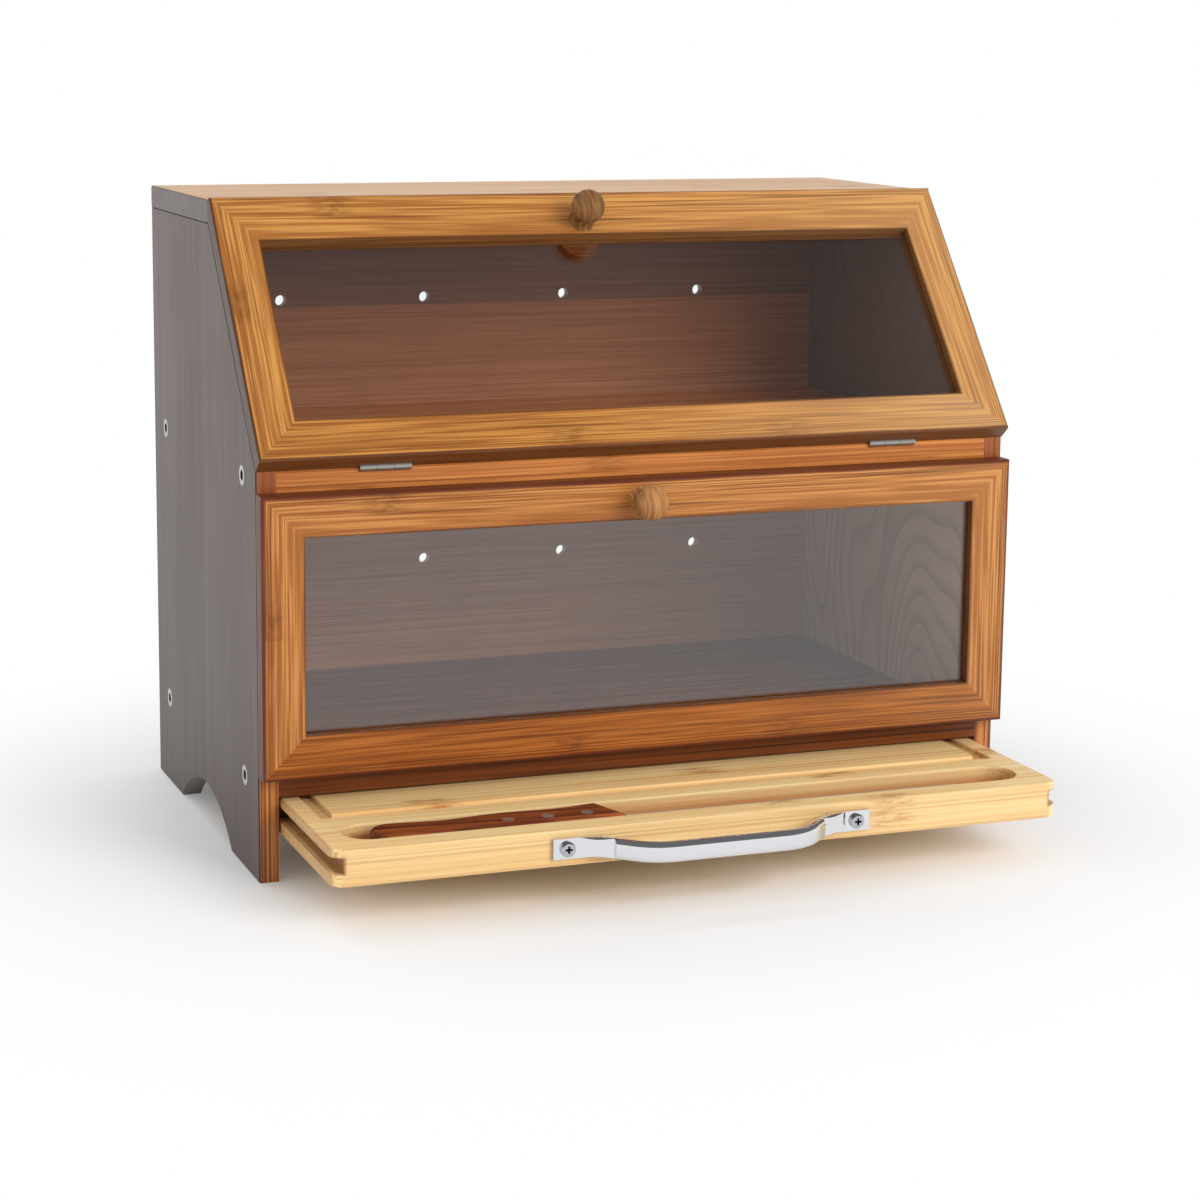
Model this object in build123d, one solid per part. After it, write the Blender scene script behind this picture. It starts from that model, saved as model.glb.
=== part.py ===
from build123d import *
import os
from math import atan2, cos, degrees, sin, sqrt

# A two-tier bread box of bamboo: two glazed flap doors, and a cutting board that pulls
# out under the lower compartment with a knife in its slot. All sizes are in millimetres.
# +X is to the right of someone who faces the doors, -Y is the front and +Z is up.

# ---------------------------------------------------------------- carcass
carcass_width = 400.0
carcass_depth = 225.0
side_thickness = 10.0
side_height = 314.5
top_thickness = 11.5
top_depth = 133.0
shelf_thickness = 11.0
middle_shelf_top = 202.5
bottom_panel_top = 53.0
panel_ease = 0.6

# The knobs, their catches and the air holes stand in one line, a little to the left of
# the middle of the doors, so this is negative.
fitting_shift = -6.5

# Feet: a shallow arch is cut from the lower edge of each side panel
foot_length = 56.5
arch_rise = 21.5

# Back panel, held in grooves of the sides and the top
back_thickness = 6.0
back_inset = 3.0
back_low_edge = 22.0
groove_depth = 5.0
groove_clearance = 0.2
vent_radius = 3.0
vent_columns = 4
vent_spacing = 83.0
upper_vent_height = 261.9
lower_vent_height = 113.4

# Furniture bolts through the sides, and threaded inserts in the ends of the shelves
bolt_setback = 27.5
bolt_head_radius = 5.0
bolt_head_height = 3.0
bolt_shank_radius = 2.5
bolt_shank_length = 40.0
socket_flats = 5.0
socket_depth = 2.2
insert_radius = 4.0
insert_length = 15.0
hole_clearance = 0.1

# Dowels between the sides and the top
dowel_radius = 3.0
dowel_in_side = 12.0
dowel_in_top = 8.0
dowel_setback = 25.0

# ---------------------------------------------------------------- doors
door_thickness = 10.0
door_seat_gap = 0.3
stile_width = 21.4
bottom_rail_width = 21.7
upper_top_rail_width = 26.1
lower_top_rail_width = 20.7
lower_door_top_clearance = 0.5
door_top_proud = 1.0
door_behind_gap = 0.5
door_edge_round = 1.5
glass_thickness = 2.5
glass_setback = 3.75
glazing_groove = 5.0
glass_clearance = 0.3

# Turned knobs
knob_ball_radius = 8.7
knob_reach = 12.7
knob_foot_radius = 6.8
knob_neck_radius = 5.9
knob_below_seat = 9.75
knob_bore_depth = 9.0
knob_screw_radius = 1.6
knob_screw_head_radius = 3.6
knob_screw_head_height = 1.8

# Magnetic catches: a tab with a rounded end behind each top rail
catch_width = 20.0
catch_thickness = 5.0
catch_drop = 19.8
catch_gap = 0.4
magnet_radius = 3.5
magnet_thickness = 3.0

# ---------------------------------------------------------------- hinges
hinge_length = 26.0
hinge_side_distance = 64.15
barrel_radius = 2.0
hinge_pin_radius = 1.0
pin_clearance = 0.05
knuckle_gap = 0.15
leaf_thickness = 1.0
leaf_start = 2.6
leaf_end = 15.0
hinge_notch_clearance = 0.3
mortise_clearance = 0.1
leaf_screw_inset = 5.5
leaf_screw_length = 7.0
leaf_screw_head_radius = 2.2
leaf_screw_head_height = 1.0
leaf_screw_radius = 1.1

screw_rim = 0.25

# ---------------------------------------------------------------- drawer board
board_thickness = 18.0
board_top_clearance = 1.0
board_side_clearance = 1.2
board_depth = 215.0
drawer_out = 91.0
board_corner_radius = 8.0
board_edge_round = 1.2
side_groove_height = 7.5
side_groove_depth = 6.0
side_groove_up = 6.5
runner_clearance = 0.3
runner_end_clearance = 0.5
runner_front_setback = 8.0
runner_back_gap = 1.0
runner_screws_per_side = 3
runner_screw_setback = 20.0
runner_screw_length = 13.0
runner_screw_head_radius = 2.4
runner_screw_head_height = 1.2
runner_screw_radius = 1.2

# Juice groove round the cutting area
juice_width = 7.3
juice_depth = 2.0
juice_side_margin = 9.5
juice_front_margin = 52.5
juice_back_margin = 15.0
juice_bottom_round = 1.2

# Knife slot along the front of the board
slot_end_margin = 11.8
slot_width = 27.0
slot_depth = 12.0
slot_front_margin = 13.0
slot_bottom_round = 0.8

# Bow handle of bent steel on the board's front edge
handle_screw_spacing = 150.0
handle_flange_length = 22.0
handle_end_overhang = 7.0
handle_height = 10.0
handle_flange_thickness = 2.0
handle_bow_thickness = 6.5
handle_section_round = 0.46
handle_lead = 12.0
handle_fair_start = 6.0
handle_fair_end = 9.0
handle_reach = 24.5
handle_ramp = 21.0
handle_bend_radius = 26.0
handle_screw_radius = 2.0
handle_screw_length = 13.0
handle_screw_head_radius = 3.7
handle_screw_head_height = 2.2
handle_screw_clearance = 0.3
cross_length = 3.6
cross_width = 1.1
cross_depth = 1.2

# Bread knife
knife_end_gap = 14.0
knife_front_gap = 1.5
grip_length = 125.0
grip_width = 24.5
grip_thickness = 12.5
grip_butt_width = 21.5
grip_waist_width = 18.8
grip_belly_width = 22.2
grip_neck_width = 21.2
grip_waist_place = 0.28
grip_belly_place = 0.52
grip_neck_place = 0.72
grip_flare_slope = 0.2
grip_end_skew = 8.0
grip_edge_round = 2.5
tang_length = 84.0
tang_width = 12.0
tang_clearance = 0.1
knife_tip_gap = 18.0
blade_width = 16.0
blade_tip_width = 9.0
blade_thickness = 1.6
bevel_width = 4.0
scallop_count = 22
scallop_depth = 0.9
scallop_margin = 6.0
rivet_radius = 3.0
rivet_count = 3
rivet_spacing = 20.0
rivet_end_distance = 18.0
rivet_proud = 0.2

# ---------------------------------------------------------------- derived places
# The row frame stands at the middle of the whole footprint, drawer and handle included.
back_y = (carcass_depth + drawer_out + handle_reach) / 2
front_y = back_y - carcass_depth
inner_half = carcass_width / 2 - side_thickness
outer_half = carcass_width / 2
top_front_y = back_y - top_depth
top_surface = side_height + top_thickness
back_front_face = back_y - back_inset - back_thickness
slant = atan2(top_front_y - front_y, side_height - middle_shelf_top)
middle_shelf_centre = middle_shelf_top - shelf_thickness / 2
bottom_panel_centre = bottom_panel_top - shelf_thickness / 2
door_width = carcass_width
hinge_centre = door_width / 2 - hinge_side_distance

board_width = 2 * (inner_half - board_side_clearance)
board_top = bottom_panel_top - shelf_thickness - board_top_clearance
board_bottom = board_top - board_thickness
board_front_y = front_y - drawer_out
board_centre_z = board_bottom + board_thickness / 2
side_groove_low = board_bottom + side_groove_up
slot_centre_y = board_front_y + slot_front_margin + slot_width / 2
slot_floor = board_top - slot_depth
slot_length = board_width - 2 * slot_end_margin
blade_length = slot_length - knife_end_gap - grip_length - knife_tip_gap

# Each door is drawn upright in its own frame: the hinge axis on X, the rear face on the
# XZ plane, the front face at -Y and up along +Z. These places set it on the carcass.
upper_hinge_y = front_y - door_seat_gap * cos(slant)
upper_hinge_z = middle_shelf_top + door_seat_gap * sin(slant)
lower_hinge_y = front_y - door_seat_gap
lower_hinge_z = bottom_panel_top
shelf_underside = middle_shelf_top - shelf_thickness
lower_door_top = middle_shelf_top - door_thickness - lower_door_top_clearance
lower_door_height = lower_door_top - lower_hinge_z

# Each catch tab is cut level under the panel above it. A knob stands a set distance
# below the line where that panel meets its door's rear face.
upper_seat_up = (side_height - upper_hinge_z) / cos(slant)
lower_seat_up = shelf_underside - lower_hinge_z
upper_knob_up = upper_seat_up - knob_below_seat
lower_knob_up = lower_seat_up - knob_below_seat
upper_door_place = Pos(0, upper_hinge_y, upper_hinge_z) * Rot(-degrees(slant), 0, 0)
lower_door_place = Pos(0, lower_hinge_y, lower_hinge_z)


# ---------------------------------------------------------------- helpers
def block(x0, x1, y0, y1, z0, z1):
    """A box between two corners."""
    size = Box(x1 - x0, y1 - y0, z1 - z0)
    return Pos((x0 + x1) / 2, (y0 + y1) / 2, (z0 + z1) / 2) * size


def rod_x(radius, x0, x1, y, z):
    """A cylinder along X."""
    return Pos((x0 + x1) / 2, y, z) * Rot(0, 90, 0) * Cylinder(radius, abs(x1 - x0))


def rod_y(radius, y0, y1, x, z):
    """A cylinder along Y."""
    return Pos(x, (y0 + y1) / 2, z) * Rot(90, 0, 0) * Cylinder(radius, abs(y1 - y0))


def rod_z(radius, z0, z1, x, y):
    """A cylinder along Z."""
    return Pos(x, y, (z0 + z1) / 2) * Cylinder(radius, abs(z1 - z0))


def turned(profile):
    """A solid of revolution about Z from a closed outline in the XZ plane."""
    return revolve(Plane.XZ * make_face(profile), Axis.Z)


def flat_head_screw(head_radius, head_height, radius, length, clearance=0.0):
    """A countersunk screw with its head on z = 0, pointing down, or the hole for it."""
    outline = Polyline(
        (0, clearance),
        (head_radius + clearance, clearance),
        (head_radius + clearance, -screw_rim),
        (radius + clearance, -head_height),
        (radius + clearance, -length + radius - clearance),
        (0, -length - clearance),
        close=True,
    )
    return turned(outline)


def cross_recess():
    """The cross-shaped recess of a screw head whose top is on z = 0."""
    bar = Box(cross_length, cross_width, 2 * cross_depth)
    return bar + Rot(0, 0, 90) * bar


def both_sides(make):
    """What make(side) gives on the left (-1) and on the right (+1), as one group."""
    return [make(-1), make(1)]


def group(solids):
    """Separate solids kept as one node."""
    return Compound(children=[s.solid() for s in solids])


# ---------------------------------------------------------------- sides
def side_outline():
    """A side panel seen from its side, in Y and Z: feet, arch, upright and slanted front."""
    arch_back = back_y - foot_length
    arch_front = front_y + foot_length
    arch_top = ((arch_back + arch_front) / 2, arch_rise)
    arch = ThreePointArc((arch_back, 0), arch_top, (arch_front, 0))
    rest = Polyline(
        (arch_front, 0),
        (front_y, 0),
        (front_y, middle_shelf_top),
        (top_front_y, side_height),
        (back_y, side_height),
        (back_y, 0),
        (arch_back, 0),
    )
    return make_face(Curve() + [arch, rest])


def bolt_seats():
    """Y and Z of the bolts in one side."""
    for y in (front_y + bolt_setback, back_y - bolt_setback):
        for z in (middle_shelf_centre, bottom_panel_centre):
            yield y, z


def dowel_places():
    """Y of the dowels in one side."""
    return (top_front_y + dowel_setback, back_y - dowel_setback)


def dowel_x(side):
    return side * (outer_half - side_thickness / 2)


def bolt_hole(side, y, z):
    """Counterbore and clearance hole for one bolt through a side panel."""
    face = side * outer_half
    seat = side * (outer_half - bolt_head_height)
    head = rod_x(bolt_head_radius + hole_clearance, face, seat, y, z)
    shank = rod_x(bolt_shank_radius + hole_clearance, face, side * inner_half, y, z)
    return head + shank


def back_groove(side):
    """The stopped groove in a side panel that holds the back panel's edge."""
    near = side * inner_half
    far = side * (inner_half + groove_depth)
    rear = back_front_face + back_thickness + groove_clearance
    return block(min(near, far), max(near, far), back_front_face, rear, back_low_edge, side_height)


def side_panel(side):
    x0 = min(side * inner_half, side * outer_half)
    panel = Pos(x0, 0, 0) * extrude(Plane.YZ * side_outline(), side_thickness)
    outer_face = panel.faces().sort_by(Axis.X)[-1 if side > 0 else 0]
    panel = chamfer(outer_face.edges(), panel_ease)
    panel -= back_groove(side)
    for y, z in bolt_seats():
        panel -= bolt_hole(side, y, z)
    for y in dowel_places():
        reach = side_height - dowel_in_side - hole_clearance
        panel -= rod_z(dowel_radius + hole_clearance, reach, side_height, dowel_x(side), y)
    for y in runner_screw_places():
        panel -= runner_screw(side, y, hole_clearance)
    return panel


def panel_bolt(side, y, z):
    """A flat-headed bolt with a hexagon socket, flush with the outside of the side."""
    face = side * outer_half
    seat = side * (outer_half - bolt_head_height)
    tip = side * (outer_half - bolt_head_height - bolt_shank_length)
    bolt = rod_x(bolt_head_radius, face, seat, y, z) + rod_x(bolt_shank_radius, seat, tip, y, z)
    socket = RegularPolygon(socket_flats / 2, 6, major_radius=False)
    recess = extrude(socket, socket_depth, both=True)
    return bolt - Pos(face, y, z) * Rot(0, 90, 0) * recess


def panel_insert(side, y, z):
    """A threaded insert in a shelf's end, round the bolt."""
    near = side * inner_half
    far = side * (inner_half - insert_length)
    body = rod_x(insert_radius, near, far, y, z)
    return body - rod_x(bolt_shank_radius + hole_clearance, near, far, y, z)


def top_dowel(side, y):
    low = side_height - dowel_in_side
    high = side_height + dowel_in_top
    return rod_z(dowel_radius, low, high, dowel_x(side), y)


# ---------------------------------------------------------------- top, back and shelves
def top_panel():
    panel = block(-outer_half, outer_half, top_front_y, back_y, side_height, top_surface)
    panel = chamfer(panel.faces().sort_by(Axis.Z)[-1].edges(), panel_ease)
    half = inner_half + groove_depth
    rear = back_front_face + back_thickness + groove_clearance
    panel -= block(-half, half, back_front_face, rear, side_height, side_height + groove_depth)
    for side in (-1, 1):
        for y in dowel_places():
            reach = side_height + dowel_in_top + hole_clearance
            panel -= rod_z(dowel_radius + hole_clearance, side_height, reach, dowel_x(side), y)
    return panel


def vent_places():
    """X and Z of the air holes in the back."""
    for z in (upper_vent_height, lower_vent_height):
        for column in range(vent_columns):
            yield fitting_shift + (column - (vent_columns - 1) / 2) * vent_spacing, z


def back_panel():
    half = inner_half + groove_depth - groove_clearance
    high = side_height + groove_depth - groove_clearance
    rear = back_front_face + back_thickness
    panel = block(-half, half, back_front_face, rear, back_low_edge, high)
    for x, z in vent_places():
        panel -= rod_y(vent_radius, back_front_face, rear, x, z)
    return panel


def hinge_seat(edge_y, axis_z, top):
    """Mortises, barrel notches and screw holes for the two fixed leaves on a shelf."""
    half = hinge_length / 2 + mortise_clearance
    notch = barrel_radius + hinge_notch_clearance
    solids = []
    for side in (-1, 1):
        x = side * hinge_centre
        low = top - leaf_thickness
        rear = edge_y + leaf_end + mortise_clearance
        solids.append(block(x - half, x + half, edge_y - notch, rear, low, top))
        solids.append(rod_x(notch, x - half, x + half, edge_y, axis_z))
        for spot in leaf_screw_spots(x):
            hole = leaf_screw(hole_clearance)
            solids.append(Pos(spot, edge_y + leaf_screw_distance(), top) * hole)
    return solids


def shelf(top, hinge_y, hinge_z):
    """A shelf between the sides, with bolt inserts in its ends and hinges on its front."""
    low = top - shelf_thickness
    centre = top - shelf_thickness / 2
    panel = block(-inner_half, inner_half, front_y, back_front_face, low, top)
    front_face = panel.faces().sort_by(Axis.Y)[0]
    panel = chamfer(front_face.edges().filter_by(Axis.X), panel_ease)
    for side in (-1, 1):
        for y in (front_y + bolt_setback, back_y - bolt_setback):
            near = side * inner_half
            seat = side * (inner_half - insert_length - hole_clearance)
            tip = side * (outer_half - bolt_head_height - bolt_shank_length - hole_clearance)
            panel -= rod_x(insert_radius + hole_clearance, near, seat, y, centre)
            panel -= rod_x(bolt_shank_radius + hole_clearance, near, tip, y, centre)
    for cut in hinge_seat(hinge_y, hinge_z, top):
        panel -= cut
    return panel


# ---------------------------------------------------------------- runners
def runner_faces(side):
    """X of a runner's outer face, on the side panel, and of its inner face."""
    inner = inner_half - board_side_clearance - side_groove_depth + runner_end_clearance
    return side * inner_half, side * inner


def runner_screw_places():
    """Y of the screws along a runner."""
    first = front_y + runner_front_setback + runner_screw_setback
    last = back_front_face - runner_back_gap - runner_screw_setback
    step = (last - first) / (runner_screws_per_side - 1)
    return [first + i * step for i in range(runner_screws_per_side)]


def runner_height():
    """Height of the middle of a runner, which is the middle of the board's groove."""
    return side_groove_low + side_groove_height / 2


def runner_screw(side, y, clearance=0.0):
    """A screw from a runner's inner face into the side panel, or its hole."""
    screw = flat_head_screw(
        runner_screw_head_radius,
        runner_screw_head_height,
        runner_screw_radius,
        runner_screw_length,
        clearance,
    )
    return Pos(runner_faces(side)[1], y, runner_height()) * Rot(0, -90 * side, 0) * screw


def runner(side):
    """A strip on the side panel that carries the board by the groove in its edge."""
    x0, x1 = sorted(runner_faces(side))
    low = side_groove_low + runner_clearance
    high = side_groove_low + side_groove_height - runner_clearance
    start = front_y + runner_front_setback
    strip = block(x0, x1, start, back_front_face - runner_back_gap, low, high)
    for y in runner_screw_places():
        strip -= runner_screw(side, y, hole_clearance)
    return strip


# ---------------------------------------------------------------- doors
def up_and_out(y, z):
    """A place on the carcass given in the upper door's frame: up its rear face, and out."""
    dy = y - upper_hinge_y
    dz = z - upper_hinge_z
    return dy * sin(slant) + dz * cos(slant), dz * sin(slant) - dy * cos(slant)


def upper_door_height():
    """Height of the upper door's front face, whose top is level with the top panel."""
    rise = top_surface + door_top_proud - upper_hinge_z
    return (rise - door_thickness * sin(slant)) / cos(slant)


def upper_door_section():
    """Section of the upper door: its head is cut upright, to clear the top panel's edge."""
    behind = top_front_y - door_behind_gap
    rear_up = (behind - upper_hinge_y) / sin(slant)
    head_up, head_out = up_and_out(behind, top_surface + door_top_proud)
    return [
        (0, 0),
        (0, rear_up),
        (-head_out, head_up),
        (-door_thickness, upper_door_height()),
        (-door_thickness, 0),
    ]


def lower_door_section():
    """Section of the lower door, a plain rectangle."""
    return [
        (0, 0),
        (0, lower_door_height),
        (-door_thickness, lower_door_height),
        (-door_thickness, 0),
    ]


def door_blank(section):
    """The door's whole slab before its window is cut."""
    face = Plane.YZ * make_face(Polyline(*section, close=True))
    return Pos(-door_width / 2, 0, 0) * extrude(face, door_width)


def round_rim(piece, along, outward, last):
    """Rounds the long outer edge of a frame member's front face."""
    front_edges = piece.edges().filter_by(along).group_by(Axis.Y)[0]
    return fillet(front_edges.sort_by(outward)[last], door_edge_round)


def window_corners(height, top_rail):
    """Half width, low edge and high edge of a door's window."""
    return door_width / 2 - stile_width, bottom_rail_width, height - top_rail


def glazing_pocket(height, top_rail):
    """The window opening and the groove for the glass round it."""
    half, low, high = window_corners(height, top_rail)
    reach = glazing_groove
    opening = block(-half, half, -2 * door_thickness, door_thickness, low, high)
    front = -glass_setback - glass_thickness - glass_clearance
    groove = block(-half - reach, half + reach, front, -glass_setback, low - reach, high + reach)
    return opening + groove


def mitre_cell(height, top_rail, member):
    """The region of one frame member, cut at the lines through the frame's corners."""
    half, low, high = window_corners(height, top_rail)
    edge = door_width / 2
    past = 0.4
    inner = {"bl": (-half, low), "br": (half, low), "tr": (half, high), "tl": (-half, high)}
    rim = {"bl": (-edge, 0), "br": (edge, 0), "tr": (edge, height), "tl": (-edge, height)}
    ends = {"bottom": ("bl", "br"), "right": ("br", "tr"), "top": ("tr", "tl"), "left": ("tl", "bl")}

    def beyond(corner):
        (x0, z0), (x1, z1) = inner[corner], rim[corner]
        return x1 + past * (x1 - x0), z1 + past * (z1 - z0)

    first, last = ends[member]
    outline = Polyline(inner[first], beyond(first), beyond(last), inner[last], close=True)
    return extrude(Plane.XZ * make_face(outline), 2 * door_thickness, both=True)


def door_frame(section, height, top_rail, knob_up):
    """The four mitred members of one door, in the door's frame."""
    frame = door_blank(section) - glazing_pocket(height, top_rail)
    rims = {
        "bottom": (Axis.X, Axis.Z, 0),
        "right": (Axis.Z, Axis.X, -1),
        "top": (Axis.X, Axis.Z, -1),
        "left": (Axis.Z, Axis.X, 0),
    }
    members = {}
    for member, rim in rims.items():
        mitred = frame & mitre_cell(height, top_rail, member)
        members[member] = round_rim(mitred, *rim)
    for cut in door_hinge_seat():
        members["bottom"] -= cut
    members["top"] -= knob_screw(knob_up, hole_clearance)
    return {name: member.solid() for name, member in members.items()}


def door_glass(height, top_rail):
    """The pane, set in the groove of the frame."""
    half, low, high = window_corners(height, top_rail)
    reach = glazing_groove - glass_clearance
    front = -glass_setback - glass_thickness
    return block(-half - reach, half + reach, front, -glass_setback, low - reach, high + reach)


def knob(up):
    """A turned knob with a short flared neck, standing on a door's front face."""
    joint = 1.2 * knob_neck_radius
    ball_start = knob_reach - sqrt(knob_ball_radius**2 - joint**2)
    waist = ball_start / 2
    outline = Curve() + [
        Line((0, 0), (knob_foot_radius, 0)),
        ThreePointArc((knob_foot_radius, 0), (knob_neck_radius, waist), (joint, ball_start)),
        ThreePointArc(
            (joint, ball_start),
            (knob_ball_radius, knob_reach),
            (0, knob_reach + knob_ball_radius),
        ),
        Line((0, knob_reach + knob_ball_radius), (0, 0)),
    ]
    turning = turned(outline) - rod_z(knob_screw_radius + hole_clearance, 0, knob_bore_depth, 0, 0)
    return Pos(fitting_shift, -door_thickness, up) * Rot(90, 0, 0) * turning


def knob_screw(up, clearance=0.0):
    """The screw that holds a knob, its head let into the door's rear face, or its hole."""
    tip = -door_thickness - knob_bore_depth + 2 * hole_clearance
    x = fitting_shift
    head = rod_y(knob_screw_head_radius + clearance, -knob_screw_head_height, 0, x, up)
    shank = rod_y(knob_screw_radius + clearance, tip, -knob_screw_head_height, x, up)
    screw = head + shank
    if clearance == 0:
        screw -= Pos(x, 0, up) * Rot(-90, 0, 0) * cross_recess()
    return screw


# ---------------------------------------------------------------- catches
def catch_tab(seat_up, seat_angle, knob_up):
    """A tab behind a top rail, in the door's frame: rounded below, flat on its seat above."""
    radius = catch_width / 2
    low = seat_up - catch_drop / cos(seat_angle)
    high = seat_up + 2 * catch_thickness
    outline = Curve() + [
        ThreePointArc((-radius, low + radius), (0, low), (radius, low + radius)),
        Polyline((radius, low + radius), (radius, high), (-radius, high), (-radius, low + radius)),
    ]
    tab = extrude(Plane.XZ * make_face(outline), -catch_thickness)
    hole = rod_y(magnet_radius + hole_clearance, 0, magnet_thickness, 0, knob_up)
    return Pos(fitting_shift, catch_gap, 0) * (tab - hole)


def catch_block(place, seat_z, seat_up, seat_angle, knob_up):
    """A catch tab on the carcass, cut level where it meets the panel above it."""
    tab = place * catch_tab(seat_up, seat_angle, knob_up)
    above = block(-door_width / 2, door_width / 2, front_y - catch_width, back_y, seat_z, 2 * seat_z)
    return tab - above


def catch_magnet(place, knob_up):
    """The magnet, level with the tab's face and in line with the knob's screw."""
    magnet = rod_y(magnet_radius, 0, magnet_thickness, 0, knob_up)
    return place * Pos(fitting_shift, catch_gap, 0) * magnet


# ---------------------------------------------------------------- hinges
def leaf_screw_spots(x):
    """X of the two screws in a leaf whose middle is at x."""
    reach = hinge_length / 2 - leaf_screw_inset
    return (x - reach, x + reach)


def leaf_screw_distance():
    """Distance of a leaf's screws from the hinge axis."""
    return (leaf_start + leaf_end) / 2


def leaf_screw(clearance=0.0):
    return flat_head_screw(
        leaf_screw_head_radius,
        leaf_screw_head_height,
        leaf_screw_radius,
        leaf_screw_length,
        clearance,
    )


def knuckle_spans(x, fixed):
    """X ranges of a leaf's knuckles: the outer two of a fixed leaf, the middle of a door's."""
    third = hinge_length / 3
    start = x - hinge_length / 2
    if fixed:
        return [
            (start, start + third - knuckle_gap),
            (start + 2 * third + knuckle_gap, start + hinge_length),
        ]
    return [(start + third, start + 2 * third)]


def hinge_leaf(x, fixed, plate_low):
    """A leaf in its own frame: barrel on X, plate along +Y, its upper face at plate_low."""
    half = hinge_length / 2
    low, high = plate_low - leaf_thickness, plate_low
    leaf = block(x - half, x + half, leaf_start, leaf_end, low, high)
    for x0, x1 in knuckle_spans(x, fixed):
        leaf += block(x0, x1, 0, leaf_start, low, high)
        leaf += rod_x(barrel_radius, x0, x1, 0, 0)
    leaf -= rod_x(hinge_pin_radius + pin_clearance, x - half, x + half, 0, 0)
    for spot in leaf_screw_spots(x):
        leaf -= Pos(spot, leaf_screw_distance(), high) * leaf_screw(hole_clearance)
    return leaf


def fixed_leaf(side, hinge_y, hinge_z, top):
    """The leaf let into a shelf's upper face."""
    return Pos(0, hinge_y, hinge_z) * hinge_leaf(side * hinge_centre, True, top - hinge_z)


def door_leaf(side):
    """The leaf let into a door's rear face, in the door's frame."""
    return Rot(0, 180, 0) * Rot(-90, 0, 0) * hinge_leaf(-side * hinge_centre, False, 0)


def door_hinge_seat():
    """Mortises, barrel notches and screw holes in a door's bottom rail."""
    half = hinge_length / 2 + mortise_clearance
    notch = barrel_radius + hinge_notch_clearance
    rear = door_thickness
    solids = []
    for side in (-1, 1):
        x = side * hinge_centre
        high = leaf_end + mortise_clearance
        solids.append(block(x - half, x + half, -leaf_thickness, rear, -rear, high))
        solids.append(rod_x(notch, x - half, x + half, 0, 0))
        solids += [door_leaf_screw(spot, hole_clearance) for spot in leaf_screw_spots(x)]
    return solids


def door_leaf_screw(x, clearance=0.0):
    """A screw through a door leaf into the bottom rail, in the door's frame."""
    return Pos(x, 0, leaf_screw_distance()) * Rot(-90, 0, 0) * leaf_screw(clearance)


def fixed_leaf_screws(hinge_y, top):
    spots = [spot for side in (-1, 1) for spot in leaf_screw_spots(side * hinge_centre)]
    return [Pos(x, hinge_y + leaf_screw_distance(), top) * leaf_screw() for x in spots]


def door_leaf_screws():
    spots = [spot for side in (-1, 1) for spot in leaf_screw_spots(side * hinge_centre)]
    return [door_leaf_screw(x) for x in spots]


def hinge_pins(hinge_y, hinge_z):
    half = hinge_length / 2
    spans = [(side * hinge_centre - half, side * hinge_centre + half) for side in (-1, 1)]
    return [rod_x(hinge_pin_radius, x0, x1, hinge_y, hinge_z) for x0, x1 in spans]


# ---------------------------------------------------------------- drawer board
def juice_groove():
    """A shallow moat with mitred corners round the cutting area behind the knife slot."""
    outer = board_width / 2 - juice_side_margin
    inner = outer - juice_width
    front = board_front_y + juice_front_margin
    rear = board_front_y + board_depth - juice_back_margin
    floor = board_top - juice_depth
    moat = block(-outer, outer, front, rear, floor, board_top)
    moat -= block(-inner, inner, front + juice_width, rear - juice_width, floor, board_top)
    return fillet(moat.faces().sort_by(Axis.Z)[0].edges(), juice_bottom_round)


def knife_slot():
    """The round-ended slot that holds the knife."""
    mouth = Pos(0, slot_centre_y, board_top) * SlotOverall(slot_length, slot_width)
    slot = extrude(mouth, -slot_depth)
    return fillet(slot.faces().sort_by(Axis.Z)[0].edges(), slot_bottom_round)


def cutting_board():
    half = board_width / 2
    rear = board_front_y + board_depth
    board = block(-half, half, board_front_y, rear, board_bottom, board_top)
    front_corners = board.edges().filter_by(Axis.Z).group_by(Axis.Y)[0]
    board = fillet(front_corners, board_corner_radius)
    faces = board.faces().sort_by(Axis.Z)
    rims = faces[0].edges() + faces[-1].edges()
    board = fillet(rims, board_edge_round)
    for side in (-1, 1):
        x0, x1 = sorted((side * half, side * (half - side_groove_depth)))
        high = side_groove_low + side_groove_height
        board -= block(x0, x1, board_front_y, rear, side_groove_low, high)
    board -= knife_slot()
    board -= juice_groove()
    for side in (-1, 1):
        board -= handle_screw(side, hole_clearance)
    return board


# ---------------------------------------------------------------- handle
def handle_ends():
    """Half lengths of the handle: at its outer ends and where the bow leaves the flanges."""
    end = handle_screw_spacing / 2 + handle_end_overhang
    return end, end - handle_flange_length


def handle_path():
    """Centre line of the bow, seen from above, from flange to flange."""
    foot = handle_ends()[1]
    lead = foot + handle_lead
    crest = foot - handle_ramp
    near = -handle_flange_thickness / 2
    far = -handle_reach + handle_bow_thickness / 2
    points = [(-lead, near), (-foot, near), (-crest, far), (crest, far), (foot, near), (lead, near)]
    return FilletPolyline(*points, radius=handle_bend_radius)


def flange_relief(side):
    """What is taken off the bar's end, so that it thins evenly into the flange."""
    foot = handle_ends()[1]
    thin = foot + handle_fair_end
    thick = foot - handle_fair_start
    beyond = foot + handle_flange_length
    outline = Polyline(
        (side * thick, -handle_reach),
        (side * thick, -handle_bow_thickness - handle_flange_thickness),
        (side * thin, -handle_flange_thickness),
        (side * beyond, -handle_flange_thickness),
        (side * beyond, -handle_reach),
        close=True,
    )
    return extrude(make_face(outline), handle_height, both=True)


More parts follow.
